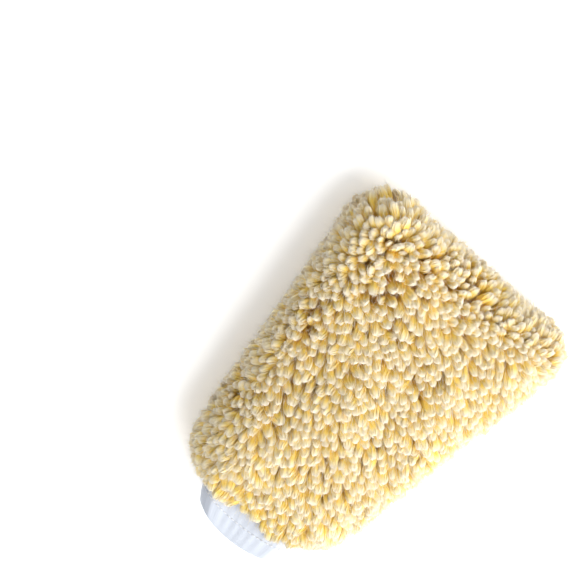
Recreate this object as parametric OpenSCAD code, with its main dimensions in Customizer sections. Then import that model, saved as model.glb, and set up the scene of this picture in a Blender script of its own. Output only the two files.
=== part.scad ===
// Wash mitt: two pile-fabric panels sewn into a bag, a smooth lining and an elasticated cuff.
// It lies palm down: +Z is up, +Y runs from the cuff to the fingertips, and the origin is the
// middle of the surface that it lies on.

/* [Ground cloth] */
// Length of the sewn ground cloth, from the wrist edge to the fingertips
cloth_len = 214; // [150:1:280]
// Width of the ground cloth at the finger end
finger_w = 168; // [140:1:230]
// Ease of the bag on each side of the cuff at the wrist, inside the lining
wrist_ease = 6; // [4:0.5:16]
// Corner radius of the ground cloth at the finger end
finger_r = 18; // [14:1:30]
// Corner radius of the ground cloth at the wrist end
wrist_r = 24; // [18:1:40]
// Thickness of the knitted ground cloth
cloth_t = 1.2; // [0.8:0.1:2]
// Width of the seam allowance turned in at the panel edges
allowance_w = 6; // [4:0.5:9]

/* [Pile] */
// Height of the pile above the ground cloth
pile_h = 16; // [8:0.5:26]
// How far the palm pile is pressed flat where the mitt rests
pile_press = 2; // [1:0.5:4]

/* [Hand pocket] */
// Rise of the back of the cloth above the seam at the fingertips
finger_rise = 10; // [7:0.5:24]
// Rise of the back of the cloth above the seam at the wrist
wrist_rise = 18; // [16:0.5:30]
// Rise of the back of the cloth above the seam over the palm
palm_rise = 22; // [18:0.5:40]
// Drop of the palm side of the cloth below the seam
palm_drop = 14; // [12:0.5:24]
// Distance from the wrist edge to the highest point of the back
palm_at = 92; // [60:1:130]
// Radius of the high area over the palm
palm_r = 42; // [30:1:52]

/* [Lining] */
// Thickness of the lining cloth
lining_t = 0.8; // [0.4:0.1:1.2]
// Clearance between neighbouring layers of cloth
layer_gap = 0.2; // [0.1:0.05:0.4]
// Clearance between the back and palm panels at the seam
seam_gap = 0.2; // [0.1:0.05:0.4]

/* [Cuff] */
// Width of the cuff, over the cloth
cuff_w = 84; // [64:1:96]
// Height of the cuff, over the cloth
cuff_h = 26; // [20:1:28]
// Length of cuff that shows beyond the pile
cuff_out = 18; // [16:1:50]
// Length of cuff inside the wrist edge of the bag
cuff_in = 14; // [10:1:30]
// Thickness of one ply of the folded cuff cloth
cuff_ply = 0.7; // [0.4:0.1:1]
// Clearance around the cuff where it passes through the lining and the pile
cuff_gap = 0.4; // [0.2:0.1:0.8]

/* [Elastic] */
// Width of the elastic band in the hem of the cuff
elastic_w = 12; // [8:1:14]
// Thickness of the elastic band
elastic_t = 0.9; // [0.6:0.1:1.4]
// Clearance on each face of the elastic in its channel
elastic_gap = 0.35; // [0.3:0.05:0.6]

/* [Thread] */
// Thickness of the sewing thread
thread_t = 0.5; // [0.3:0.1:0.7]
// Length of one lockstitch
stitch_len = 3; // [2:0.5:4]
// Space between one stitch and the next
stitch_space = 1; // [0.5:0.5:2]
// Clearance between a stitch and the cloth that it lies on
thread_gap = 0.15; // [0.1:0.05:0.2]

/* [Hidden] */

round_fn = 32;
far = 1000;
slice_t = 0.5;

// Lengths along the mitt, with the whole mitt centred on the origin
overall_len = cuff_out + pile_h + cloth_len + pile_h;
hem_y = -overall_len / 2;
pile_end_y = hem_y + cuff_out;
wrist_y = pile_end_y + pile_h;
finger_y = wrist_y + cloth_len;
cuff_end_y = wrist_y + cuff_in;

// Height of the seam between the two panels, and of the middle of the cuff
seam_z = palm_drop + pile_h - pile_press;
cuff_z = seam_z + (wrist_rise - palm_drop) / 2;

// Layers, as distances outwards from the outer face of the ground cloth
pile_in = layer_gap;
cloth_in = -cloth_t;
lining_out = cloth_in - layer_gap;
lining_in = lining_out - lining_t;

// Room at the sides for the seam allowance, its overlock and the seam of the lining
allowance_in = cloth_in - allowance_w;
overlock_in = allowance_in - thread_gap - thread_t;
lining_side_out = overlock_in - 2 * thread_gap - thread_t - layer_gap;
lining_side_in = lining_side_out - lining_t;

// Width of the ground cloth at the wrist, so that the cuff fits inside the lining
wrist_w = cuff_w + 2 * (cuff_gap + wrist_ease - lining_side_in);

// Centres of the four rounded corners
wrist_cx = wrist_w / 2 - wrist_r;
wrist_cy = wrist_y + wrist_r;
finger_cx = finger_w / 2 - finger_r;
finger_cy = finger_y - finger_r;

// Rise of each panel at the wrist, the palm and the fingertips
BACK = [wrist_rise, palm_rise, finger_rise];
PALM = [palm_drop, palm_drop, palm_drop];

// Folded wall of the cuff
channel_t = elastic_t + 2 * elastic_gap;
cuff_wall = 2 * cuff_ply + channel_t;
channel_stitch_y = hem_y + cuff_ply + elastic_gap + elastic_w + 2 * thread_t;
join_stitch_y = cuff_end_y - 2 * thread_t;

// Straight side of the seam, from the wrist corner to the finger corner
side_run = norm([finger_cx - wrist_cx, finger_cy - wrist_cy]);
side_dir = atan2(finger_cy - wrist_cy, finger_cx - wrist_cx);
side_norm = side_dir - acos((wrist_r - finger_r) / side_run);
stitch_pitch = stitch_len + stitch_space;

// Point at distance along the right half of the seam line, with its heading in degrees.
// The line lies "out" beyond the outer face of the ground cloth. It runs up the side,
// round the finger corner and along the fingertips to the middle.
function seam_side(out) = sqrt(side_run * side_run - pow(wrist_r - finger_r, 2));
function seam_arc(out) = (finger_r + out) * PI * (90 - side_norm) / 180;
function seam_half(out) = seam_side(out) + seam_arc(out) + finger_cx;
function seam_point(s, out) =
    s < seam_side(out)
        ? [wrist_cx + (wrist_r + out) * cos(side_norm) + s * cos(side_norm + 90),
           wrist_cy + (wrist_r + out) * sin(side_norm) + s * sin(side_norm + 90),
           side_norm + 90]
        : s < seam_side(out) + seam_arc(out)
            ? corner_point(side_norm + (s - seam_side(out)) / (finger_r + out) * 180 / PI, out)
            : [finger_cx - (s - seam_side(out) - seam_arc(out)), finger_y + out, 180];
function corner_point(a, out) =
    [finger_cx + (finger_r + out) * cos(a), finger_cy + (finger_r + out) * sin(a), a + 90];

// Ball of the given radius, flattened or stretched to the given rise
module pad(x, y, r, rise) {
    translate([x, y, 0])
        scale([1, 1, rise / r])
            sphere(r, $fn = round_fn);
}

// Upright outline with half-round ends, such as the cuff's
module stadium(w, h) {
    square([w - h, h], center = true);
    for (side = [-1, 1])
        translate([side * (w - h) / 2, 0])
            circle(d = h, $fn = 2 * round_fn);
}

// Cuff's outline grown by "out" and drawn out from y0 to y1
module cuff_block(out, y0, y1) {
    translate([0, y1, cuff_z])
        rotate([90, 0, 0])
            linear_extrude(y1 - y0)
                stadium(cuff_w + 2 * out, cuff_h + 2 * out);
}

// Bag with rounded corners: "side" and "up" grow it from the outer face of the ground cloth
module bag(rise, side, up) {
    translate([0, 0, seam_z])
        hull() {
            for (m = [-1, 1]) {
                pad(m * wrist_cx, wrist_cy, wrist_r + side, rise[0] + up);
                pad(m * finger_cx, finger_cy, finger_r + side, rise[2] + up);
            }
            pad(0, wrist_y + palm_at, palm_r + side, rise[1] + up);
        }
}

// Bag of cloth, which narrows to the neck round the cuff
module necked_bag(rise, side, up) {
    neck_out = cuff_gap + up - lining_in;
    hull() {
        bag(rise, side, up);
        cuff_block(neck_out, wrist_y - max(up, 0), wrist_y + slice_t);
    }
}

// Everything above the seam, less half of the clearance at the seam
module above_seam() {
    translate([-far / 2, -far / 2, seam_z + seam_gap / 2])
        cube([far, far, far]);
}

// Everything below the seam
module below_seam() {
    translate([-far / 2, -far / 2, seam_z - seam_gap / 2 - far])
        cube([far, far, far]);
}

// Everything above the surface that the mitt lies on
module above_rest() {
    translate([-far / 2, -far / 2, 0])
        cube([far, far, far]);
}

// Pile of one panel: thick, open at the wrist for the cuff
module pile_layer(rise) {
    difference() {
        bag(rise, pile_h, pile_h);
        necked_bag(rise, pile_in, pile_in);
        cuff_block(cuff_gap, hem_y, cuff_end_y);
    }
}

// One panel of cloth, with its wrist end open
module cloth_layer(rise, side_out, up_out, side_in, up_in) {
    difference() {
        necked_bag(rise, side_out, up_out);
        necked_bag(rise, side_in, up_in);
        cuff_block(cuff_gap + up_in - lining_in, hem_y, wrist_y + slice_t);
    }
}

// Flat outline of the sewn bag, grown by "out"
module seam_outline(out) {
    hull()
        for (m = [-1, 1]) {
            translate([m * wrist_cx, wrist_cy])
                circle(wrist_r + out, $fn = round_fn);
            translate([m * finger_cx, finger_cy])
                circle(finger_r + out, $fn = round_fn);
        }
}

// Seam allowance: the edge of a panel turned in, from the wrist corners round the fingers
module allowance() {
    linear_extrude(cloth_t)
        intersection() {
            difference() {
                seam_outline(cloth_in / 2);
                seam_outline(allowance_in);
            }
            translate([-far / 2, wrist_cy])
                square([far, far]);
        }
}

// Repeats a stitch at even steps along both halves of the seam line
module along_seam(out, pitch) {
    count = floor(seam_half(out) / pitch);
    step = seam_half(out) / count;
    for (m = [0, 1])
        mirror([m, 0, 0])
            for (i = [0 : count - 1]) {
                p = seam_point((i + 0.5) * step, out);
                translate([p[0], p[1], seam_z])
                    rotate(p[2])
                        children();
            }
}

// Lockstitches round the cuff, on an outline grown by "out" from the cuff's outer face.
// Inside the cuff, where a wall bends towards them, the straight stitches stand off by their bow.
module stitch_ring(out, y) {
    h = cuff_h + 2 * out;
    bow = out < 0 ? stitch_len * stitch_len / 4 / h : 0;
    flat = cuff_w - cuff_h;
    flat_count = floor(flat / stitch_pitch);
    arc_count = floor(PI * h / 2 / stitch_pitch);
    translate([0, y, cuff_z])
        for (m = [0, 1])
            mirror([m, 0, 0]) {
                for (i = [0 : flat_count - 1])
                    translate([(i + 0.5) * flat / flat_count - flat / 2, 0, (m - 0.5) * h])
                        cube([stitch_len, thread_t, thread_t], center = true);
                for (i = [0 : arc_count - 1]) {
                    a = (i + 0.5) * 180 / arc_count - 90;
                    translate([flat / 2 + cos(a) * (h / 2 - bow), 0, sin(a) * (h / 2 - bow)])
                        rotate([0, -90 - a, 0])
                            cube([stitch_len, thread_t, thread_t], center = true);
                }
            }
}

module back_pile() {
    color("wheat")
        intersection() {
            pile_layer(BACK);
            above_seam();
        }
}

module palm_pile() {
    color("wheat")
        intersection() {
            pile_layer(PALM);
            below_seam();
            above_rest();
        }
}

module back_ground_cloth() {
    color("cornsilk") {
        intersection() {
            cloth_layer(BACK, 0, 0, cloth_in, cloth_in);
            above_seam();
        }
        translate([0, 0, seam_z + seam_gap / 2])
            allowance();
    }
}

module palm_ground_cloth() {
    color("cornsilk") {
        intersection() {
            cloth_layer(PALM, 0, 0, cloth_in, cloth_in);
            below_seam();
        }
        translate([0, 0, seam_z - seam_gap / 2 - cloth_t])
            allowance();
    }
}

module back_lining() {
    color("white")
        intersection() {
            cloth_layer(BACK, lining_side_out, lining_out, lining_side_in, lining_in);
            above_seam();
        }
}

module palm_lining() {
    color("white")
        intersection() {
            cloth_layer(PALM, lining_side_out, lining_out, lining_side_in, lining_in);
            below_seam();
        }
}

// Strip of cloth folded at the hem: two plies with the channel for the elastic between them
module cuff() {
    color("white")
        difference() {
            cuff_block(0, hem_y, cuff_end_y);
            cuff_block(-cuff_wall, hem_y - slice_t, cuff_end_y + slice_t);
            difference() {
                cuff_block(-cuff_ply, hem_y + cuff_ply, cuff_end_y + slice_t);
                cuff_block(cuff_ply - cuff_wall, hem_y, cuff_end_y + 2 * slice_t);
            }
        }
}

// Woven elastic band, run round inside the fold of the hem
module cuff_elastic() {
    band_out = -cuff_ply - elastic_gap;
    band_y = hem_y + cuff_ply + elastic_gap;
    color("ivory")
        difference() {
            cuff_block(band_out, band_y, band_y + elastic_w);
            cuff_block(band_out - elastic_t, band_y - slice_t, band_y + elastic_w + slice_t);
        }
}

// Rows of stitches above and below the two turned-in edges
module perimeter_seam_thread() {
    row_out = cloth_in - allowance_w / 4;
    row_z = seam_gap / 2 + cloth_t + thread_gap + thread_t / 2;
    color("beige")
        along_seam(row_out, stitch_pitch)
            for (side = [-1, 1])
                translate([0, 0, side * row_z])
                    cube([stitch_len, thread_t, thread_t], center = true);
}

// Thread wrapped round the raw edges of the allowance, one loop to each stitch
module perimeter_overlock_thread() {
    bite = allowance_w / 2;
    inner_h = seam_gap + 2 * cloth_t + 2 * thread_gap;
    outer_h = inner_h + 2 * thread_t;
    loop_w = thread_gap + thread_t + bite;
    color("beige")
        along_seam(overlock_in, stitch_pitch)
            difference() {
                translate([0, -loop_w / 2, 0])
                    cube([thread_t, loop_w, outer_h], center = true);
                translate([0, -loop_w / 2 - thread_t, 0])
                    cube([2 * thread_t, loop_w, inner_h], center = true);
            }
}

// Short bars across the joint of the two lining panels, on its outer side
module lining_seam_thread() {
    bar_out = lining_side_out + thread_gap + thread_t / 2;
    color("whitesmoke")
        along_seam(bar_out, stitch_pitch)
            cube([thread_t, thread_t, stitch_len], center = true);
}

// Tacks that hold the finger corners of the lining to the overlocked edge of the allowance
module lining_tack_thread() {
    tack_angle = 45;
    tack_from = finger_r + lining_side_out + thread_gap;
    tack_to = finger_r + overlock_in - thread_gap;
    tack_z = stitch_len / 2 + thread_gap + thread_t / 2;
    color("whitesmoke")
        for (m = [0, 1], side = [-1, 1])
            mirror([m, 0, 0])
                translate([finger_cx, finger_cy, seam_z + side * tack_z])
                    rotate(tack_angle)
                        translate([(tack_from + tack_to) / 2, 0, 0])
                            cube([tack_to - tack_from, thread_t, thread_t], center = true);
}

// Row that joins the cuff to the wrist edges of the lining and the ground cloth
module cuff_join_thread() {
    color("white")
        stitch_ring(-cuff_wall - thread_gap - thread_t / 2, join_stitch_y);
}

// Row that closes the channel of the elastic, seen on both faces of the cuff
module cuff_channel_thread() {
    color("gainsboro") {
        stitch_ring(thread_gap + thread_t / 2, channel_stitch_y);
        stitch_ring(-cuff_wall - thread_gap - thread_t / 2, channel_stitch_y);
    }
}

// Row along the cuff that closes its strip into a ring, on the palm side
module cuff_side_seam_thread() {
    seam_from = channel_stitch_y + 2 * thread_t;
    seam_len = join_stitch_y - 2 * thread_t - seam_from;
    count = floor(seam_len / stitch_pitch);
    floor_z = cuff_z - cuff_h / 2 + cuff_wall;
    color("white")
        for (i = [0 : count - 1])
            translate([0, seam_from + (i + 0.5) * seam_len / count, floor_z + thread_gap + thread_t / 2])
                cube([thread_t, stitch_len, thread_t], center = true);
}

// Bar of stitches where the ends of the elastic meet, in the clearance of the channel
module elastic_join_thread() {
    bar_t = elastic_gap / 3;
    bar_rows = 4;
    bar_x = cuff_h / 2;
    band_mid_y = hem_y + cuff_ply + elastic_gap + elastic_w / 2;
    band_top_z = cuff_z + cuff_h / 2 - cuff_ply - elastic_gap;
    color("black")
        for (i = [0 : bar_rows - 1])
            translate([bar_x, band_mid_y + (i - (bar_rows - 1) / 2) * elastic_w / bar_rows,
                band_top_z + bar_t])
                cube([stitch_len, thread_t, bar_t], center = true);
}

back_pile();
palm_pile();
back_ground_cloth();
palm_ground_cloth();
back_lining();
palm_lining();
cuff();
cuff_elastic();
perimeter_seam_thread();
perimeter_overlock_thread();
lining_seam_thread();
lining_tack_thread();
cuff_join_thread();
cuff_channel_thread();
cuff_side_seam_thread();
elastic_join_thread();
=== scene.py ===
# A wash mitt of cream lambswool-style pile, with a smooth lining and an elasticated white cuff.
# It lies palm down, +Y towards the fingertips, in metres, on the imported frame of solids.
import math

import bmesh
import bpy
import numpy as np
from mathutils import Matrix, Vector, noise
from mathutils.bvhtree import BVHTree


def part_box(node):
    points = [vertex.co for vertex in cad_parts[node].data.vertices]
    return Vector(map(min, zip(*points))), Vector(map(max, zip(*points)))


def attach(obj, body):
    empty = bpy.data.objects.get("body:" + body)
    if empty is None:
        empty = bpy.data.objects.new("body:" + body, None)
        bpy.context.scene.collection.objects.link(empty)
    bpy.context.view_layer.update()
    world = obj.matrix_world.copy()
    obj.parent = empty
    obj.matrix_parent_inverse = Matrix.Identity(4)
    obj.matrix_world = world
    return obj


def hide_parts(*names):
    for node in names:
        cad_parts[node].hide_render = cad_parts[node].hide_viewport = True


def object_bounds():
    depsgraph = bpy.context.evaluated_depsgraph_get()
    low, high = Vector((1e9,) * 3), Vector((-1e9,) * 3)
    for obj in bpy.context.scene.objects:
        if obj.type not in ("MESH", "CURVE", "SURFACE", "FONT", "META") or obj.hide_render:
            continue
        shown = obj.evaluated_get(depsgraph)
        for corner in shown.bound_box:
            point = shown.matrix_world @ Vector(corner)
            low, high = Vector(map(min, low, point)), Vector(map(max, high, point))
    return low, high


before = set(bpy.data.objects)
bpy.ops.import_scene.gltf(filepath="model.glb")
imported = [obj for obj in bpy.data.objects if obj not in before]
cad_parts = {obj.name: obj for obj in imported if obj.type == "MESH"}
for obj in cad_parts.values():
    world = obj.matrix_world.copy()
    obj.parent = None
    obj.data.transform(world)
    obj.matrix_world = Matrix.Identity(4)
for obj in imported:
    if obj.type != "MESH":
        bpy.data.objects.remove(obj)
cad_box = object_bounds()


# --- The room: a plain pale floor, one large soft key light from the right, a pale dome that is
# dimmer on the left, and the camera above the mitt's left edge, turned so that the fingers
# point up and right.

mitt_low, mitt_high = cad_box
mitt_middle = (Vector(mitt_low) + Vector(mitt_high)) / 2

side_tilt = math.radians(21)      # the camera leans over the left edge of the mitt
finger_tilt = math.radians(11)    # and over the fingertips
axis_angle = math.radians(46.5)   # how far the mitt's length is turned up from level
camera_distance = 1.25
camera_lens = 115
aim_right, aim_up = -0.0467, 0.0788  # the aim, past the mitt, in the plane of the picture

camera_back = Vector((
    -math.sin(side_tilt) * math.cos(finger_tilt),
    math.sin(finger_tilt),
    math.cos(side_tilt) * math.cos(finger_tilt),
))
along_mitt = (Vector((0, 1, 0)) - camera_back.y * camera_back).normalized()
across_mitt = along_mitt.cross(camera_back)
picture_right = math.cos(axis_angle) * along_mitt + math.sin(axis_angle) * across_mitt
picture_up = math.sin(axis_angle) * along_mitt - math.cos(axis_angle) * across_mitt

camera_data = bpy.data.cameras.new("camera")
camera_data.lens = camera_lens
camera_data.clip_start = 0.05     # well short of the mitt
camera = bpy.data.objects.new("camera", camera_data)
bpy.context.scene.collection.objects.link(camera)
aim = mitt_middle + aim_right * picture_right + aim_up * picture_up
camera_turn = Matrix((picture_right, picture_up, camera_back)).transposed()
camera.matrix_world = Matrix.Translation(aim + camera_distance * camera_back) @ camera_turn.to_4x4()
bpy.context.scene.camera = camera
bpy.context.scene.view_settings.view_transform = "Standard"


def soft_light(name, place, size, power, colour):
    data = bpy.data.lights.new(name, "AREA")
    data.size = size
    data.energy = power
    data.color = colour
    lamp = bpy.data.objects.new(name, data)
    bpy.context.scene.collection.objects.link(lamp)
    lamp.location = place
    lamp.rotation_euler = (mitt_middle - Vector(place)).to_track_quat("-Z", "Y").to_euler()


soft_light("key_light", (1.15, -0.05, 1.25), 2.4, 58, (1.0, 0.99, 0.97))

world = bpy.data.worlds.new("studio")
world.use_nodes = True
dome_nodes, dome_links = world.node_tree.nodes, world.node_tree.links
dome = dome_nodes["Background"]
dome.inputs["Color"].default_value = (0.96, 0.98, 1.0, 1)
dome_way = dome_nodes.new("ShaderNodeTexCoord")
dome_parts = dome_nodes.new("ShaderNodeSeparateXYZ")
dome_shade = dome_nodes.new("ShaderNodeMapRange")
dome_shade.inputs["From Min"].default_value = -1
dome_shade.inputs["To Min"].default_value = 0.31  # the dome is dimmer on the mitt's left
dome_shade.inputs["To Max"].default_value = 1.0
dome_links.new(dome_way.outputs["Generated"], dome_parts.inputs["Vector"])
dome_links.new(dome_parts.outputs["X"], dome_shade.inputs["Value"])
dome_links.new(dome_shade.outputs["Result"], dome.inputs["Strength"])
bpy.context.scene.world = world

floor_reach = 3  # from its middle to its edge
floor_mesh = bpy.data.meshes.new("floor")
floor_build = bmesh.new()
bmesh.ops.create_grid(floor_build, x_segments=2, y_segments=2, size=floor_reach)
floor_build.to_mesh(floor_mesh)
floor_build.free()
floor = bpy.data.objects.new("floor", floor_mesh)
bpy.context.scene.collection.objects.link(floor)
floor_paint = bpy.data.materials.new("floor_paint")
floor_paint.use_nodes = True
floor_shader = floor_paint.node_tree.nodes["Principled BSDF"]
floor_shader.inputs["Base Color"].default_value = (0.95, 0.95, 0.95, 1)
floor_shader.inputs["Roughness"].default_value = 0.9
floor_shader.inputs["Emission Color"].default_value = (1, 1, 1, 1)
floor_shader.inputs["Emission Strength"].default_value = 0.28
floor_mesh.materials.append(floor_paint)


# --- Ground cloth: the knitted backing that holds the pile, cut as two panels and sewn right
# sides together round the sides and fingertips, so that the seam allowance lies inside.

cloth_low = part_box("back_ground_cloth")[0]
palm_cloth_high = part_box("palm_ground_cloth")[1]
seam_z = (cloth_low.z + palm_cloth_high.z) / 2
wrist_y = cloth_low.y
cuff_low, cuff_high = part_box("cuff")
cloth_thickness = 0.0012
allowance_width = 0.006
form_cell = 0.004         # edge of the even squares that a cloth form is made of
lump_height = 0.0035      # the mitt's uneven filling out
fold_height = 0.0022      # slack folds that run across it
lumps_fade_above = 0.012  # no lumps at the seam, all of them this far over it
lumps_start = 0.015       # none this near the wrist
lumps_fade_along = 0.04


def lumps(place):
    """How far a spot on the back is pushed up or down by the way the mitt was dropped."""
    above = max(0.0, min(1.0, (place.z - seam_z) / lumps_fade_above))
    past_neck = max(0.0, min(1.0, (place.y - wrist_y - lumps_start) / lumps_fade_along))
    rough = noise.noise(place * 18 + Vector((3.1, 7.7, 1.3)))
    fold = noise.noise(Vector((place.x * 26 + place.y * 13, place.y * 7 - place.x * 5, 4.2)))
    return (lump_height * rough + fold_height * fold) * above * past_neck


def bag_form(nodes, cell):
    """Closed, softened bag round the CAD solids of these nodes, with the mitt's lumps."""
    build = bmesh.new()
    for node in nodes:
        build.from_mesh(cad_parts[node].data)
    bmesh.ops.remove_doubles(build, verts=build.verts, dist=1e-6)
    hull = bmesh.ops.convex_hull(build, input=build.verts)
    inside = dict.fromkeys(hull["geom_interior"] + hull["geom_unused"])
    loose = [part for part in inside if isinstance(part, bmesh.types.BMVert)]
    bmesh.ops.delete(build, geom=loose, context="VERTS")
    skin = {part for part in hull["geom"] if isinstance(part, bmesh.types.BMFace)}
    bmesh.ops.delete(build, geom=[f for f in build.faces if f not in skin], context="FACES_ONLY")
    mesh = bpy.data.meshes.new("bag_form")
    build.to_mesh(mesh)
    build.free()
    blank = bpy.data.objects.new("bag_form", mesh)
    bpy.context.scene.collection.objects.link(blank)
    remesh = blank.modifiers.new("even_cells", "REMESH")
    remesh.mode = "VOXEL"
    remesh.voxel_size = cell
    soften = blank.modifiers.new("soften", "SMOOTH")
    soften.factor = 0.5
    soften.iterations = 8
    soft = bpy.data.meshes.new_from_object(blank.evaluated_get(bpy.context.evaluated_depsgraph_get()))
    bpy.data.objects.remove(blank)
    for vertex in soft.vertices:
        vertex.co.z += lumps(vertex.co)
    return soft


ground_form = bag_form(["back_ground_cloth", "palm_ground_cloth"], form_cell)


def knit_group():
    """Knitted loops: ribs of a given width with rows of stitches across them, as a height."""
    group = bpy.data.node_groups.new("knit", "ShaderNodeTree")
    for name in ("Along", "Across"):
        group.interface.new_socket(name, in_out="INPUT", socket_type="NodeSocketFloat")
    group.interface.new_socket("Ribs per metre", in_out="INPUT", socket_type="NodeSocketFloat")
    group.interface.new_socket("Height", in_out="OUTPUT", socket_type="NodeSocketFloat")
    nodes, links = group.nodes, group.links
    given, made = nodes.new("NodeGroupInput"), nodes.new("NodeGroupOutput")

    def maths(operation, first, second):
        step = nodes.new("ShaderNodeMath")
        step.operation = operation
        for socket, value in zip(step.inputs, (first, second)):
            if isinstance(value, (int, float)):
                socket.default_value = value
            elif value is not None:
                links.new(value, socket)
        return step.outputs[0]

    ribs = maths("MULTIPLY", given.outputs["Across"], given.outputs["Ribs per metre"])
    rows = maths("MULTIPLY", given.outputs["Along"], given.outputs["Ribs per metre"])
    within_rib = maths("PINGPONG", ribs, 0.5)
    slant = maths("MULTIPLY_ADD", within_rib, 1.6)
    links.new(maths("MULTIPLY", rows, 1.3), slant.node.inputs[2])
    loop = maths("ABSOLUTE", maths("SINE", maths("MULTIPLY", slant, math.pi), None), None)
    rib_round = maths("POWER", maths("MULTIPLY", within_rib, 2), 0.6)
    links.new(maths("MULTIPLY", loop, rib_round), made.inputs["Height"])
    return group


knit = knit_group()


def knitted_cloth(name, colour, hollow_shade_colour, ribs_per_metre, depth, roughness, sheen, cloth_map=None):
    """Knitted fabric: loops in relief, painted shade darkening the hollows between the ribs, and soft
    uneven patches of tone.
    """
    cloth = bpy.data.materials.new(name)
    cloth.use_nodes = True
    nodes, links = cloth.node_tree.nodes, cloth.node_tree.links
    shader = nodes["Principled BSDF"]
    if cloth_map:
        where = nodes.new("ShaderNodeUVMap")
        where.uv_map = cloth_map
        place = where.outputs["UV"]
    else:
        where = nodes.new("ShaderNodeTexCoord")
        place = where.outputs["Object"]
    parts = nodes.new("ShaderNodeSeparateXYZ")
    links.new(place, parts.inputs["Vector"])
    loops = nodes.new("ShaderNodeGroup")
    loops.node_tree = knit
    loops.inputs["Ribs per metre"].default_value = ribs_per_metre
    links.new(parts.outputs["X"], loops.inputs["Across"])
    links.new(parts.outputs["Y"], loops.inputs["Along"])
    uneven = nodes.new("ShaderNodeTexNoise")
    uneven.inputs["Scale"].default_value = 90
    uneven.inputs["Detail"].default_value = 4
    links.new(place, uneven.inputs["Vector"])
    # Painted shade: where the loops sink between the ribs, the colour mixes towards the darker hollow
    # colour.
    shade = nodes.new("ShaderNodeMix")
    shade.data_type = "RGBA"
    shade.inputs["A"].default_value = hollow_shade_colour
    shade.inputs["B"].default_value = colour
    links.new(loops.outputs["Height"], shade.inputs["Factor"])
    patches = nodes.new("ShaderNodeMix")
    patches.data_type = "RGBA"
    patches.blend_type = "MULTIPLY"
    patches.inputs["B"].default_value = (0.93, 0.93, 0.93, 1)
    links.new(uneven.outputs["Fac"], patches.inputs["Factor"])
    links.new(shade.outputs["Result"], patches.inputs["A"])
    links.new(patches.outputs["Result"], shader.inputs["Base Color"])
    relief = nodes.new("ShaderNodeBump")
    relief.inputs["Distance"].default_value = depth
    links.new(loops.outputs["Height"], relief.inputs["Height"])
    links.new(relief.outputs["Normal"], shader.inputs["Normal"])
    shader.inputs["Roughness"].default_value = roughness
    shader.inputs["Sheen Weight"].default_value = sheen
    return cloth


def cloth_panel(name, form, seam_height, keep_above, end_y, thickness, turned_in):
    """Half of a bag form, open along the seam and at the wrist, with its edge turned in."""
    build = bmesh.new()
    build.from_mesh(form)
    upwards = 1 if keep_above else -1
    for cut_at, kept_way in (((0, 0, seam_height), (0, 0, upwards)), ((0, end_y, 0), (0, 1, 0))):
        everything = build.verts[:] + build.edges[:] + build.faces[:]
        bmesh.ops.bisect_plane(
            build, geom=everything, plane_co=cut_at, plane_no=kept_way, clear_inner=True
        )
    if turned_in:
        rim = [
            e for e in build.edges
            if e.is_boundary and all(abs(v.co.z - seam_height) < 1e-5 for v in e.verts)
        ]
        outward_at = {
            tuple(round(c, 7) for c in v.co): Vector((v.normal.x, v.normal.y, 0)).normalized()
            for e in rim for v in e.verts
        }
        turned = bmesh.ops.extrude_edge_only(build, edges=rim)["geom"]
        for vertex in (v for v in turned if isinstance(v, bmesh.types.BMVert)):
            vertex.co -= outward_at[tuple(round(c, 7) for c in vertex.co)] * turned_in
    bmesh.ops.recalc_face_normals(build, faces=build.faces)
    top = max(build.faces, key=lambda f: upwards * f.calc_center_median().z)
    if top.normal.z * upwards < 0:
        bmesh.ops.reverse_faces(build, faces=build.faces)
    for face in build.faces:
        face.smooth = True
    mesh = bpy.data.meshes.new(name)
    build.to_mesh(mesh)
    build.free()
    panel = bpy.data.objects.new(name, mesh)
    bpy.context.scene.collection.objects.link(panel)
    wall = panel.modifiers.new("thickness", "SOLIDIFY")
    wall.thickness = thickness
    wall.offset = -1
    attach(panel, "root")
    return panel


# Painted crevice shade: the backing shows only down the crevices between the locks and is coloured deep
# golden like the pile's roots; its second colour is painted shade in the hollows between the ribs.
ground_knit = knitted_cloth(
    "ground_knit", (0.95, 0.66, 0.16, 1), (0.90, 0.56, 0.10, 1), 700, 0.0003, 0.9, 0.2
)
wrist_trim = 0.0012          # the panels stop just short of the CAD cloth's wrist end
for side, seam_edge in (("back", cloth_low.z), ("palm", palm_cloth_high.z)):
    panel = cloth_panel(
        f"{side}_ground_knit", ground_form, seam_edge, side == "back", wrist_y + wrist_trim,
        cloth_thickness, allowance_width,
    )
    panel.data.materials.append(ground_knit)
    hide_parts(f"{side}_ground_cloth")


# --- Pile: clumped locks of fine crimped fibre, knitted into the ground cloth at their roots.
# Each lock is a soft round-ended core with wisps laid along it and loose hairs standing off it,
# and the locks lean on one another: combed towards the cuff, and outwards round the edges.

pile_seed = np.random.default_rng(11)
lock_spacing = 0.0053
core_thickness = 0.0030    # half the width of a lock's core, before its own girth
wisp_thickness = 0.00042
hair_thickness = 0.00011
wisps_in_lock = 11
hairs_in_lock = 22
colour_bands = 128         # shades that the locks are shared out among

pile_form = bag_form(["back_pile", "palm_pile"], 0.005)


def smooth_rise(low, high, value):
    """From 0 at the low value to 1 at the high one, level at both ends."""
    t = np.clip((value - low) / (high - low), 0, 1)
    return t * t * (3 - 2 * t)


def unit(vectors):
    return vectors / np.maximum(np.linalg.norm(vectors, axis=-1, keepdims=True), 1e-9)


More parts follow.
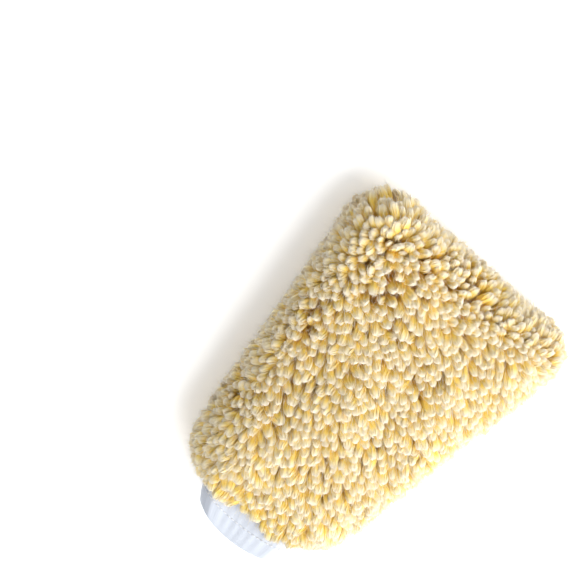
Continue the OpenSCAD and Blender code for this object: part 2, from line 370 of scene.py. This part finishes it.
def scatter(mesh, spacing, tries):
    """Places and normals on a mesh, no two nearer than the spacing."""
    faces = [p for p in mesh.polygons if len(p.vertices) == 4]
    corners = np.array([[mesh.vertices[i].co for i in p.vertices] for p in faces])
    normals = np.array([[mesh.vertices[i].normal for i in p.vertices] for p in faces])
    areas = np.array([p.area for p in faces])
    chosen = pile_seed.choice(len(areas), size=tries, p=areas / areas.sum())
    across, down = pile_seed.random((2, tries, 1))
    shares = np.stack(
        [(1 - across) * (1 - down), across * (1 - down), across * down, (1 - across) * down], 1
    )
    places = (corners[chosen] * shares).sum(1)
    facing = unit((normals[chosen] * shares).sum(1))
    taken, kept = {}, []
    for i, place in enumerate(places):
        cell = tuple(np.floor(place / spacing).astype(int))
        near = [
            j for dx in (-1, 0, 1) for dy in (-1, 0, 1) for dz in (-1, 0, 1)
            for j in taken.get((cell[0] + dx, cell[1] + dy, cell[2] + dz), ())
        ]
        if all(((places[j] - place) ** 2).sum() > spacing * spacing for j in near):
            taken.setdefault(cell, []).append(i)
            kept.append(i)
    return places[kept], facing[kept]


# Tips lie evenly over the outside of the pile, wherever the cuff doesn't pass through it.
cuff_middle = np.array([(cuff_low.x + cuff_high.x) / 2, (cuff_low.z + cuff_high.z) / 2])
cuff_half = np.array([(cuff_high.x - cuff_low.x) / 2, (cuff_high.z - cuff_low.z) / 2])
beside_cuff_y = wrist_y + 0.004  # short of this the pile stands round the cuff


def cuff_reach(from_middle, room):
    """How far out a place lies on the cuff's rounded outline: 1 is on it."""
    return (np.abs(from_middle / room) ** 3).sum(-1) ** (1 / 3)


def outside_mouth(places, margin):
    reach = cuff_reach(places[:, [0, 2]] - cuff_middle, cuff_half + margin)
    return (reach > 1) | (places[:, 1] > beside_cuff_y)


tips, facing = scatter(pile_form, lock_spacing, 60000)
clear_of_cuff = outside_mouth(tips, 0.002)
tips, facing = tips[clear_of_cuff], facing[clear_of_cuff]
lock_count = len(tips)

# The way the locks lean: combed towards the cuff, out round the edges, with swirls and sag.
form_places = np.array([v.co for v in pile_form.vertices])
pile_ys = np.linspace(form_places[:, 1].min() + 0.004, form_places[:, 1].max() - 0.004, 24)
pile_half_widths = np.array([
    np.abs(form_places[np.abs(form_places[:, 1] - y) < 0.008, 0]).max() for y in pile_ys
])
sideways = tips[:, 0] / np.interp(tips[:, 1], pile_ys, pile_half_widths)
lengthways = (tips[:, 1] - pile_ys.mean()) / (np.ptp(pile_ys) / 2)
no_lean = np.zeros(lock_count)
combed = np.array([0.55, -0.72, 0.0]) * (
    (1 - smooth_rise(0.5, 0.95, lengthways)) * (1 - 0.4 * smooth_rise(0.6, 0.95, np.abs(sideways)))
)[:, None]
outwards = np.stack(
    [sideways * np.abs(sideways) ** 2, lengthways * np.abs(lengthways) ** 3, no_lean], 1
)
swirl_fields = [Vector(shift) for shift in ((3.3, 8.1, 1.4), (7.2, 2.6, 6.9), (5.5, 5.1, 0.7))]
swirl = np.array([[noise.noise(Vector(t) * 24 + field) for field in swirl_fields] for t in tips])
loose = pile_seed.normal(0, 0.18, (lock_count, 3))
sag = np.stack([no_lean, no_lean, -0.35 * (1 - np.abs(facing[:, 2]))], 1)
lean = combed + 0.5 * outwards + 0.6 * swirl + loose + sag
underneath = smooth_rise(0.2, 0.7, -facing[:, 2])[:, None]
lean = lean * (1 - underneath) + (0.8 * outwards + 0.6 * swirl + loose) * underneath
lean -= (lean * facing).sum(1, keepdims=True) * facing
lean_size = np.linalg.norm(lean, axis=1, keepdims=True)
lean = lean / np.maximum(lean_size, 1e-6) * np.clip(lean_size, 0.35, 0.9)
sideways_of_lock = unit(np.cross(facing, lean))

# Roots are in the ground cloth, up the lean from each tip.
ground_surface = BVHTree.FromPolygons(
    [v.co for v in ground_form.vertices], [p.vertices for p in ground_form.polygons]
)


def roots_under(places, directions):
    """Nearest spots on the ground cloth to the places moved back this way, with their normals."""
    found, normals = np.empty_like(places), np.empty_like(places)
    for i, place in enumerate(places - directions):
        near, normal, _, _ = ground_surface.find_nearest(Vector(place))
        found[i], normals[i] = near, normal
    return found, normals


depth = np.array([ground_surface.find_nearest(Vector(t))[3] for t in tips])[:, None]
roots, root_facing = roots_under(tips, depth * (0.9 * lean + facing))
at_corner = smooth_rise(0.55, 0.95, np.abs(sideways)) * smooth_rise(0.6, 0.95, lengthways)
tips -= facing * depth * pile_seed.uniform(0.02, 0.20, (lock_count, 1))
tips += facing * (at_corner * pile_seed.uniform(0.0, 0.005, lock_count))[:, None]
over_cuff = smooth_rise(0.80, 0.97, -lengthways) * (1 - smooth_rise(0.45, 0.8, np.abs(sideways)))
tips[:, 1] -= over_cuff * pile_seed.uniform(0.0, 0.008, lock_count)
heights = np.linalg.norm(tips - roots, axis=1)


root_depth = 0.0008  # the roots are caught in the ground cloth


def lock_line(share):
    """Middle of every lock at this share of its length, from root to tip."""
    rise = heights[:, None]
    bends = [
        roots - root_depth * root_facing,
        roots + 0.40 * rise * unit(0.5 * root_facing + 0.5 * facing),
        tips - 0.38 * rise * unit(0.7 * facing + 0.8 * lean),
        tips,
    ]
    t = share
    weights = [(1 - t) ** 3, 3 * t * (1 - t) ** 2, 3 * t * t * (1 - t), t ** 3]
    curl = sideways_of_lock * lock_curl * math.sin(t * 5)
    return sum(w * b for w, b in zip(weights, bends)) + curl


def lock_heading(share):
    """The way every lock points at this share of its length."""
    return unit(lock_line(min(share + 0.02, 1.0)) - lock_line(max(share - 0.02, 0.0)))


floor_clearance = 0.0004
cuff_clearance = 0.0008


def kept_clear(places, margin):
    """Pushed up off the floor and out of the cuff, by the strand's own thickness."""
    places[..., 2] = np.maximum(places[..., 2], floor_clearance + margin)
    from_middle = places[..., [0, 2]] - cuff_middle
    reach = cuff_reach(from_middle, cuff_half + cuff_clearance + margin)
    beside_cuff = (places[..., 1] < beside_cuff_y) & (reach < 1)
    push = np.where(beside_cuff, 1 / np.maximum(reach, 0.05), 1.0)[..., None]
    places[..., [0, 2]] = cuff_middle + from_middle * push
    return places


lock_twist = pile_seed.uniform(-0.7, 0.7, (lock_count, 1))
lock_girth = pile_seed.uniform(0.78, 1.18, (lock_count, 1))
lock_curl = pile_seed.normal(0, 0.0011, (lock_count, 1))
lock_bands = pile_seed.integers(0, colour_bands, lock_count)
crimp = 0.22     # how far a strand wanders round its lock, in radians
flatness = 0.58  # depth of a lock as a share of its width


def strands(per_lock, thickness, shape, stray, ends):
    """Middle line and thickness of every strand. The shape has a row for each point along a
    strand: share of the lock's length, distance from the lock's middle, and fullness."""
    turn = 2 * math.pi * np.arange(per_lock) / per_lock + pile_seed.uniform(0, 6.28, (lock_count, 1))
    turn = turn + pile_seed.normal(0, 0.25, (lock_count, per_lock))
    reach = lock_girth * pile_seed.uniform(0.92, 1.08, (lock_count, per_lock))
    length = pile_seed.uniform(ends[0], ends[1], (lock_count, per_lock))
    stray_way = pile_seed.normal(0, 1, (lock_count, per_lock, 3)) * stray
    crimp_phase = pile_seed.uniform(0, 6.28, (lock_count, per_lock))
    lines = np.empty((lock_count, per_lock, len(shape), 3))
    for k, (step, spread, _) in enumerate(shape):
        share = min(step, 1.0)
        middle, heading = lock_line(share), lock_heading(share)
        across = unit(sideways_of_lock - (sideways_of_lock * heading).sum(1, keepdims=True) * heading)
        through = np.cross(across, heading)
        beyond = (step * length - share)[..., None] * heights[:, None, None]
        angle = turn + lock_twist * step + crimp * np.sin(step * 9 + crimp_phase)
        wide = (reach * spread * np.cos(angle))[..., None] * across[:, None]
        deep = (flatness * reach * spread * np.sin(angle))[..., None] * through[:, None]
        lines[:, :, k] = (
            middle[:, None] + heading[:, None] * beyond + wide + deep + stray_way * step ** 3
        )
    fullness = np.array([row[2] for row in shape])
    widths = thickness * fullness * lock_girth[:, :, None] * np.ones((1, per_lock, 1))
    return kept_clear(lines, thickness * fullness.max()), widths, shape


core_shape = [
    (0, 0, 0), (0.12, 0, 1.1), (0.32, 0, 1.2), (0.52, 0, 1.2), (0.70, 0, 1.14),
    (0.84, 0, 1.0), (0.93, 0, 0.78), (0.98, 0, 0.45), (1.0, 0, 0),
]
wisp_shape = [(s, r * core_thickness, f) for s, r, f in (
    (0.30, 1.0, 0), (0.50, 1.16, 1.0), (0.70, 1.12, 1.0),
    (0.85, 0.98, 1.0), (0.95, 0.72, 0.85), (1.02, 0.30, 0),
)]
hair_shape = [(s, r * core_thickness, f) for s, r, f in (
    (0.55, 1.15, 0), (0.75, 1.25, 1.0), (0.92, 1.20, 0.9), (1.08, 0.95, 0),
)]
cores = strands(1, core_thickness, core_shape, 0.0, (1.0, 1.0))
wisps = strands(wisps_in_lock, wisp_thickness, wisp_shape, 0.0003, (0.95, 1.03))
hairs = strands(hairs_in_lock, hair_thickness, hair_shape, 0.0016, (0.88, 1.06))


def strand_mesh(strand_kind, locks, sides, flat):
    """Tubes of a flat or round section along these locks' strands, drawn to a point at both
    ends, and mapped by shade across and by length from root to tip."""
    lines, widths = strand_kind[0][locks], strand_kind[1][locks]
    per_lock, points = lines.shape[1:3]
    section = bpy.data.curves.new("section", "CURVE")
    outline = section.splines.new("POLY")
    outline.points.add(sides - 1)
    outline.use_cyclic_u = True
    for k, point in enumerate(outline.points):
        turn = 2 * math.pi * k / sides
        point.co = (math.cos(turn), flat * math.sin(turn), 0, 1)
    section_holder = bpy.data.objects.new("section", section)
    curve = bpy.data.curves.new("strands", "CURVE")
    curve.dimensions = "3D"
    curve.twist_mode = "Z_UP"
    curve.bevel_mode = "OBJECT"
    curve.bevel_object = section_holder
    for line, width in zip(lines.reshape(-1, points, 3), widths.reshape(-1, points)):
        spline = curve.splines.new("POLY")
        spline.points.add(points - 1)
        spline.points.foreach_set("co", np.column_stack([line, np.ones(points)]).ravel())
        spline.points.foreach_set("radius", width)
    holder = bpy.data.objects.new("strands", curve)
    bpy.context.scene.collection.objects.link(holder)
    mesh = bpy.data.meshes.new_from_object(holder.evaluated_get(bpy.context.evaluated_depsgraph_get()))
    bpy.data.objects.remove(holder)
    bpy.data.objects.remove(section_holder)

    corner_vertex = np.empty(len(mesh.loops), dtype=np.int32)
    mesh.loops.foreach_get("vertex_index", corner_vertex)
    strand = corner_vertex // (points * sides)
    step = corner_vertex // sides % points
    half_way = 1 - np.abs(1 - 2 * (corner_vertex % sides + 0.2) / sides)
    bands = np.repeat(lock_bands[locks], per_lock)
    shade = (bands[strand] + 0.04 + 0.92 * half_way) / colour_bands
    along = 0.03 + 0.94 * np.array([row[0] for row in strand_kind[2]])[step]
    mesh.uv_layers[0].name = "OFBake"
    mesh.uv_layers[0].data.foreach_set("uv", np.column_stack([shade, along]).ravel())
    return mesh


def pile_piece(name, locks, node):
    """One stretch of the pile: its locks' cores, wisps and hairs in one mesh."""
    build = bmesh.new()
    for kind, sides, flat in ((cores, 8, flatness), (wisps, 4, 1.0), (hairs, 3, 1.0)):
        part = strand_mesh(kind, locks, sides, flat)
        build.from_mesh(part)
        bpy.data.meshes.remove(part)
    bmesh.ops.remove_doubles(build, verts=build.verts, dist=1e-7)
    for face in build.faces:
        face.smooth = True
    mesh = bpy.data.meshes.new(name)
    build.to_mesh(mesh)
    build.free()
    mesh.materials.append(pile_fibre)
    piece = bpy.data.objects.new(name, mesh)
    bpy.context.scene.collection.objects.link(piece)
    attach(piece, "root")
    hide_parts(node)
    return piece


pile_fibre = bpy.data.materials.new("pile_fibre")
pile_fibre.use_nodes = True
fibre_nodes, fibre_links = pile_fibre.node_tree.nodes, pile_fibre.node_tree.links
fibre_shader = fibre_nodes["Principled BSDF"]
strand_map = fibre_nodes.new("ShaderNodeUVMap")
strand_map.uv_map = "OFBake"
map_parts = fibre_nodes.new("ShaderNodeSeparateXYZ")
fibre_links.new(strand_map.outputs["UV"], map_parts.inputs["Vector"])

# Painted crevice shade: the colour runs from a deep golden at the roots, down in the crevices between
# the locks, to the fibre's own pale cream at the tips.
root_shade_to_tip = fibre_nodes.new("ShaderNodeValToRGB")
fibre_links.new(map_parts.outputs["Y"], root_shade_to_tip.inputs["Fac"])
stops = root_shade_to_tip.color_ramp.elements
stops[0].position, stops[0].color = 0.30, (0.97, 0.60, 0.06, 1)
stops[1].position, stops[1].color = 1.0, (0.90, 0.81, 0.69, 1)
for place, colour in ((0.70, (0.97, 0.68, 0.15, 1)), (0.86, (0.93, 0.78, 0.48, 1))):
    stops.new(place).color = colour

band_number = fibre_nodes.new("ShaderNodeMath")
band_number.operation = "MULTIPLY"
band_number.inputs[1].default_value = colour_bands
fibre_links.new(map_parts.outputs["X"], band_number.inputs[0])
band_floor = fibre_nodes.new("ShaderNodeMath")
band_floor.operation = "FLOOR"
fibre_links.new(band_number.outputs[0], band_floor.inputs[0])
band_shade = fibre_nodes.new("ShaderNodeTexWhiteNoise")
band_shade.noise_dimensions = "1D"
fibre_links.new(band_floor.outputs[0], band_shade.inputs["W"])

streak_stretch = fibre_nodes.new("ShaderNodeMapping")
streak_stretch.inputs["Scale"].default_value = (colour_bands * 14, 5, 1)
fibre_links.new(strand_map.outputs["UV"], streak_stretch.inputs["Vector"])
streaks = fibre_nodes.new("ShaderNodeTexNoise")
streaks.inputs["Scale"].default_value = 1
streaks.inputs["Detail"].default_value = 3
fibre_links.new(streak_stretch.outputs["Vector"], streaks.inputs["Vector"])

shade_mix = fibre_nodes.new("ShaderNodeMix")
shade_mix.data_type = "RGBA"
shade_mix.blend_type = "MULTIPLY"
shade_mix.inputs["B"].default_value = (0.97, 0.94, 0.87, 1)
band_share = fibre_nodes.new("ShaderNodeMath")
band_share.operation = "MULTIPLY"
fibre_links.new(band_shade.outputs["Value"], band_share.inputs[0])
fibre_links.new(streaks.outputs["Fac"], band_share.inputs[1])
fibre_links.new(band_share.outputs[0], shade_mix.inputs["Factor"])
fibre_links.new(root_shade_to_tip.outputs["Color"], shade_mix.inputs["A"])
fibre_links.new(shade_mix.outputs["Result"], fibre_shader.inputs["Base Color"])

streak_bump = fibre_nodes.new("ShaderNodeBump")
streak_bump.inputs["Strength"].default_value = 0.5
streak_bump.inputs["Distance"].default_value = 0.0003
fibre_links.new(streaks.outputs["Fac"], streak_bump.inputs["Height"])
fibre_links.new(streak_bump.outputs["Normal"], fibre_shader.inputs["Normal"])
fibre_shader.inputs["Roughness"].default_value = 0.82
fibre_shader.inputs["Subsurface Weight"].default_value = 0.5
fibre_shader.inputs["Subsurface Radius"].default_value = (1.0, 0.95, 0.85)
fibre_shader.inputs["Subsurface Scale"].default_value = 0.0010
fibre_shader.inputs["Sheen Weight"].default_value = 0.25
fibre_shader.inputs["Sheen Roughness"].default_value = 0.5
fibre_shader.inputs["Specular IOR Level"].default_value = 0.25

on_back = roots[:, 2] > seam_z
stretch_names = ("wrist", "heel", "middle", "knuckles", "fingers")
for side, node, chosen in (("back", "back_pile", on_back), ("palm", "palm_pile", ~on_back)):
    last = len(stretch_names) - 1
    edges = np.quantile(roots[chosen, 1], np.linspace(0, 1, last + 2))
    for k, part_name in enumerate(stretch_names):
        stretch = chosen & (roots[:, 1] >= edges[k]) & ((roots[:, 1] < edges[k + 1]) | (k == last))
        pile_piece(f"{side}_pile_{part_name}", np.flatnonzero(stretch), node)


# --- Lining: two panels of thin smooth tricot, sewn round their edges inside the ground cloth,
# so that a wet hand slides in. Only its wrist end can be seen, past the cuff.

lining_thickness = 0.0008
lining_clearance = 0.0004  # from the ground cloth
lining_trim = 0.0016       # shorter than the ground cloth at the wrist
lining_form = bag_form(["back_lining", "palm_lining"], form_cell)
# The tricot's second colour is painted shade in the hollows between its ribs.
lining_tricot = knitted_cloth(
    "lining_tricot", (0.86, 0.86, 0.85, 1), (0.70, 0.71, 0.73, 1), 1600, 0.00012, 0.6, 0.1
)
for vertex in lining_form.vertices:
    vertex.co -= vertex.normal * lining_clearance
for side, seam_edge in (("back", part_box("back_lining")[0].z), ("palm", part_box("palm_lining")[1].z)):
    panel = cloth_panel(
        f"{side}_lining_tricot", lining_form, seam_edge, side == "back", wrist_y + lining_trim,
        lining_thickness, 0,
    )
    panel.data.materials.append(lining_tricot)
    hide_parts(f"{side}_lining")


# --- Cuff: one strip of white rib jersey, folded at the hem into two plies with a channel for
# the elastic, closed into a ring and sewn into the wrist. The elastic draws the hem in.

ply = 0.0007
hem_y, cuff_end_y = cuff_low.y, cuff_high.y
cuff_z = (cuff_low.z + cuff_high.z) / 2
cuff_round = (cuff_high.z - cuff_low.z) / 2
cuff_flat = (cuff_high.x - cuff_low.x) / 2 - cuff_round
elastic_low, elastic_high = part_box("cuff_elastic")
elastic_thickness = 0.0009
elastic_inset = cuff_high.x - elastic_high.x
cuff_wall = 2 * elastic_inset + elastic_thickness
gathers = 34
gather_height = 0.00020
hem_lean = 0.005      # the drawn-in hem lies this far to one side
hem_roll = 0.0012     # and is twisted this much
hem_arch = 0.0065     # its sides stand back from its middle


def cuff_spot(side, rise, inset, y):
    """Place on the cuff, drawn in by the elastic: side and rise are on its flat-sided outline,
    and the inset is how far in from it."""
    end = max(-cuff_flat, min(cuff_flat, side))
    out = Vector((side - end, rise)).normalized()
    x, z = end + out.x * (cuff_round - inset), out.y * (cuff_round - inset)
    from_hem = (y - hem_y) / (elastic_high.y - hem_y)
    drawn = max(0.0, 1 - from_hem * 0.45)
    turn = math.atan2(z * cuff_high.x / cuff_round, x)
    gather = gather_height * math.sin(gathers * turn) * math.exp(-((from_hem - 0.9) / 0.8) ** 2)
    narrow = 1 - 0.14 * drawn ** 2 - 0.05 * drawn
    flatten = 1 - 0.05 * drawn
    lift = hem_roll * math.sin(2 * turn + 0.6) * drawn
    towards_hem = max(0.0, min(1.0, (cuff_high.y - y) / (cuff_high.y - hem_y)))
    arch = hem_arch * (side / cuff_high.x) ** 2 * towards_hem
    return Vector((
        x * narrow + hem_lean * drawn + gather * out.x,
        y + arch,
        cuff_z + z * flatten + gather * out.y + lift,
    ))


def cuff_outline(build):
    """Edges of a flat-sided ring, flat in Y."""
    ring = bmesh.ops.create_circle(build, segments=72, radius=cuff_round)["verts"]
    for vertex in ring:
        vertex.co = Vector((vertex.co.x, 0, vertex.co.y))
        vertex.co.x += math.copysign(cuff_flat, vertex.co.x) if abs(vertex.co.x) > 1e-6 else 0
    long_edges = [e for e in build.edges if e.calc_length() > cuff_flat * 0.8]
    bmesh.ops.subdivide_edges(build, edges=long_edges, cuts=24)
    return build.edges[:]


def folded_band(name, profile, thickness, cloth_map):
    """Band round the cuff through the insets and places along it in the profile, then thickened.
    Its map is the cloth laid flat: across it round the cuff, and up it along the profile."""
    build = bmesh.new()
    rows = [cuff_outline(build)]
    places = build.verts.layers.float_vector.new("outline")
    for vertex in build.verts:
        vertex[places] = vertex.co
    for _ in profile[1:]:
        made = bmesh.ops.extrude_edge_only(build, edges=rows[-1])["geom"]
        new_verts = {part for part in made if isinstance(part, bmesh.types.BMVert)}
        new_edges = [part for part in made if isinstance(part, bmesh.types.BMEdge)]
        rows.append([edge for edge in new_edges if all(v in new_verts for v in edge.verts)])
    lengths = build.loops.layers.uv.new(cloth_map)
    row_lengths = [0.0]
    for before, after in zip(profile, profile[1:]):
        row_lengths.append(row_lengths[-1] + math.hypot(after[0] - before[0], after[1] - before[1]))
    row_of = {vertex: k for k, row in enumerate(rows) for edge in row for vertex in edge.verts}
    around = {v: math.atan2(v[places][2], v[places][0]) for v in build.verts}
    half_round = cuff_flat * 2 + math.pi * cuff_round
    for face in build.faces:
        turns = [around[loop.vert] for loop in face.loops]
        wraps = max(turns) - min(turns) > math.pi
        for loop in face.loops:
            turn = around[loop.vert]
            if wraps and turn < 0:
                turn += 2 * math.pi
            loop[lengths].uv = (turn / math.pi * half_round, row_lengths[row_of[loop.vert]])
    for vertex, k in row_of.items():
        side, _, rise = vertex[places]
        vertex.co = cuff_spot(side, rise, profile[k][0], profile[k][1])
    bmesh.ops.recalc_face_normals(build, faces=build.faces)
    for face in build.faces:
        face.smooth = True
    mesh = bpy.data.meshes.new(name)
    build.to_mesh(mesh)
    build.free()
    outermost = max(mesh.polygons, key=lambda p: p.center.z)
    if outermost.normal.z < 0:
        mesh.flip_normals()
    band = bpy.data.objects.new(name, mesh)
    bpy.context.scene.collection.objects.link(band)
    wall = band.modifiers.new("thickness", "SOLIDIFY")
    wall.thickness = thickness
    wall.offset = -1
    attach(band, "root")
    return band


hem_round = cuff_wall / 2
outer_ply = [(0, y) for y in np.linspace(cuff_end_y, hem_y + hem_round, 26)]
hem_fold = [
    (hem_round - hem_round * math.cos(a), hem_y + hem_round - hem_round * math.sin(a))
    for a in np.linspace(0, math.pi, 11)[1:-1]
]
inner_ply = [(cuff_wall, y) for y in np.linspace(hem_y + hem_round, cuff_end_y, 26)]
# The jersey's second colour is painted shade in the hollows between its ribs.
cuff_jersey = knitted_cloth(
    "cuff_jersey", (0.60, 0.64, 0.71, 1), (0.55, 0.59, 0.68, 1), 900, 0.00008, 0.8, 0.2, "cloth"
)
cuff_piece = folded_band("cuff_folded_jersey", outer_ply + hem_fold + inner_ply, ply, "cloth")
cuff_piece.data.materials.append(cuff_jersey)
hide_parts("cuff")


# --- Elastic: a woven rubber-cored band run round inside the fold of the hem, its ends lapped
# and barred together.

# The webbing's second colour is painted shade in the hollows between its ribs.
elastic_webbing = knitted_cloth(
    "elastic_webbing", (0.86, 0.84, 0.76, 1), (0.58, 0.56, 0.48, 1), 1100, 0.0003, 0.8, 0.1, "cloth"
)
band_ys = np.linspace(elastic_low.y, elastic_high.y, 9)
band_profile = [(elastic_inset, y) for y in band_ys[::-1]]
elastic_piece = folded_band("elastic_webbing_band", band_profile, elastic_thickness, "cloth")
elastic_piece.data.materials.append(elastic_webbing)
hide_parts("cuff_elastic")


# --- Thread: polyester sewing thread in every seam, each stitch a short twisted strand lying on
# the cloth; the overlock wraps the raw edges in loops.

thread_thickness = 0.0005
thread_polyester = bpy.data.materials.new("thread_polyester")
thread_polyester.use_nodes = True
thread_nodes, thread_links = thread_polyester.node_tree.nodes, thread_polyester.node_tree.links
thread_shader = thread_nodes["Principled BSDF"]
thread_place = thread_nodes.new("ShaderNodeTexCoord")
thread_twist = thread_nodes.new("ShaderNodeTexWave")
thread_twist.bands_direction = "DIAGONAL"
thread_twist.inputs["Scale"].default_value = 900
thread_twist.inputs["Distortion"].default_value = 1
thread_links.new(thread_place.outputs["Object"], thread_twist.inputs["Vector"])
thread_shade = thread_nodes.new("ShaderNodeMix")
thread_shade.data_type = "RGBA"
thread_shade.inputs["A"].default_value = (0.82, 0.82, 0.83, 1)
thread_shade.inputs["B"].default_value = (0.94, 0.94, 0.94, 1)
thread_links.new(thread_twist.outputs["Fac"], thread_shade.inputs["Factor"])
thread_links.new(thread_shade.outputs["Result"], thread_shader.inputs["Base Color"])
thread_bump = thread_nodes.new("ShaderNodeBump")
thread_bump.inputs["Distance"].default_value = 0.0001
thread_links.new(thread_twist.outputs["Fac"], thread_bump.inputs["Height"])
thread_links.new(thread_bump.outputs["Normal"], thread_shader.inputs["Normal"])
thread_shader.inputs["Roughness"].default_value = 0.5


def stitches_of(node):
    """Corner places of each separate stitch in a thread node, in order of place."""
    build = bmesh.new()
    build.from_mesh(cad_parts[node].data)
    bmesh.ops.remove_doubles(build, verts=build.verts, dist=1e-6)
    seen, found = set(), []
    for first in build.verts:
        if first in seen:
            continue
        seen.add(first)
        reached, corners = [first], []
        while reached:
            vertex = reached.pop()
            corners.append(vertex.co.copy())
            for edge in vertex.link_edges:
                other = edge.other_vert(vertex)
                if other not in seen:
                    seen.add(other)
                    reached.append(other)
        found.append(np.array(corners))
    build.free()
    return sorted(found, key=lambda corners: tuple(corners.mean(0).round(6)))


def stitch_line(corners, looped):
    """Middle line of one stitch: straight along its length, or a loop round the raw edges."""
    middle = corners.mean(0)
    along = np.linalg.eigh(np.cov((corners - middle).T))[1][:, 2]  # the stitch's longest way
    reach = np.abs((corners - middle) @ along).max() - thread_thickness / 2
    if not looped:
        return [middle + along * reach * t for t in np.linspace(-1, 1, 5)]
    inwards = -unit(np.array([middle[0], middle[1] - 0.02, 0.0]))
    depth = np.ptp(corners @ inwards) - thread_thickness
    height = np.ptp(corners[:, 2]) - thread_thickness
    turns = np.linspace(-0.5 * math.pi, 0.5 * math.pi, 5)
    bend = [
        middle + inwards * depth * (math.cos(a) - 0.5) * 0.5
        + np.array([0, 0, height / 2 * math.sin(a)]) for a in turns
    ]
    far_ends = [
        middle - inwards * depth * 0.5 + np.array([0, 0, z * height / 2]) for z in (-1, 1)
    ]
    return [far_ends[0], *bend, far_ends[1]]


def on_cuff(place):
    """A spot on the CAD cuff's outline, carried to the drawn-in cuff."""
    side, rise = place[0], place[2] - cuff_z
    end = max(-cuff_flat, min(cuff_flat, side))
    inset = cuff_round - math.hypot(side - end, rise)
    return np.array(cuff_spot(side, rise, inset, place[1]))


def thread_piece(node, looped=False, follows_cuff=False):
    """Every stitch of a thread node as its own short strand, in one mesh."""
    curve = bpy.data.curves.new(node, "CURVE")
    curve.dimensions = "3D"
    curve.bevel_depth = thread_thickness / 2
    curve.bevel_resolution = 1
    curve.use_fill_caps = True
    for corners in stitches_of(node):
        line = stitch_line(corners, looped)
        if follows_cuff:
            line = [on_cuff(place) for place in line]
        spline = curve.splines.new("POLY")
        spline.points.add(len(line) - 1)
        for point, place in zip(spline.points, line):
            point.co = (*place, 1)
    holder = bpy.data.objects.new(node, curve)
    bpy.context.scene.collection.objects.link(holder)
    mesh = bpy.data.meshes.new_from_object(holder.evaluated_get(bpy.context.evaluated_depsgraph_get()))
    bpy.data.objects.remove(holder)
    build = bmesh.new()
    build.from_mesh(mesh)
    bmesh.ops.remove_doubles(build, verts=build.verts, dist=1e-7)
    for face in build.faces:
        face.smooth = True
    build.to_mesh(mesh)
    build.free()
    mesh.materials.append(thread_polyester)
    piece = bpy.data.objects.new(f"{node}_stitches", mesh)
    bpy.context.scene.collection.objects.link(piece)
    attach(piece, "root")
    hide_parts(node)
    return piece


for node in ("perimeter_seam_thread", "lining_seam_thread", "lining_tack_thread"):
    thread_piece(node)
thread_piece("perimeter_overlock_thread", looped=True)
for node in ("cuff_join_thread", "cuff_channel_thread", "cuff_side_seam_thread", "elastic_join_thread"):
    thread_piece(node, follows_cuff=True)
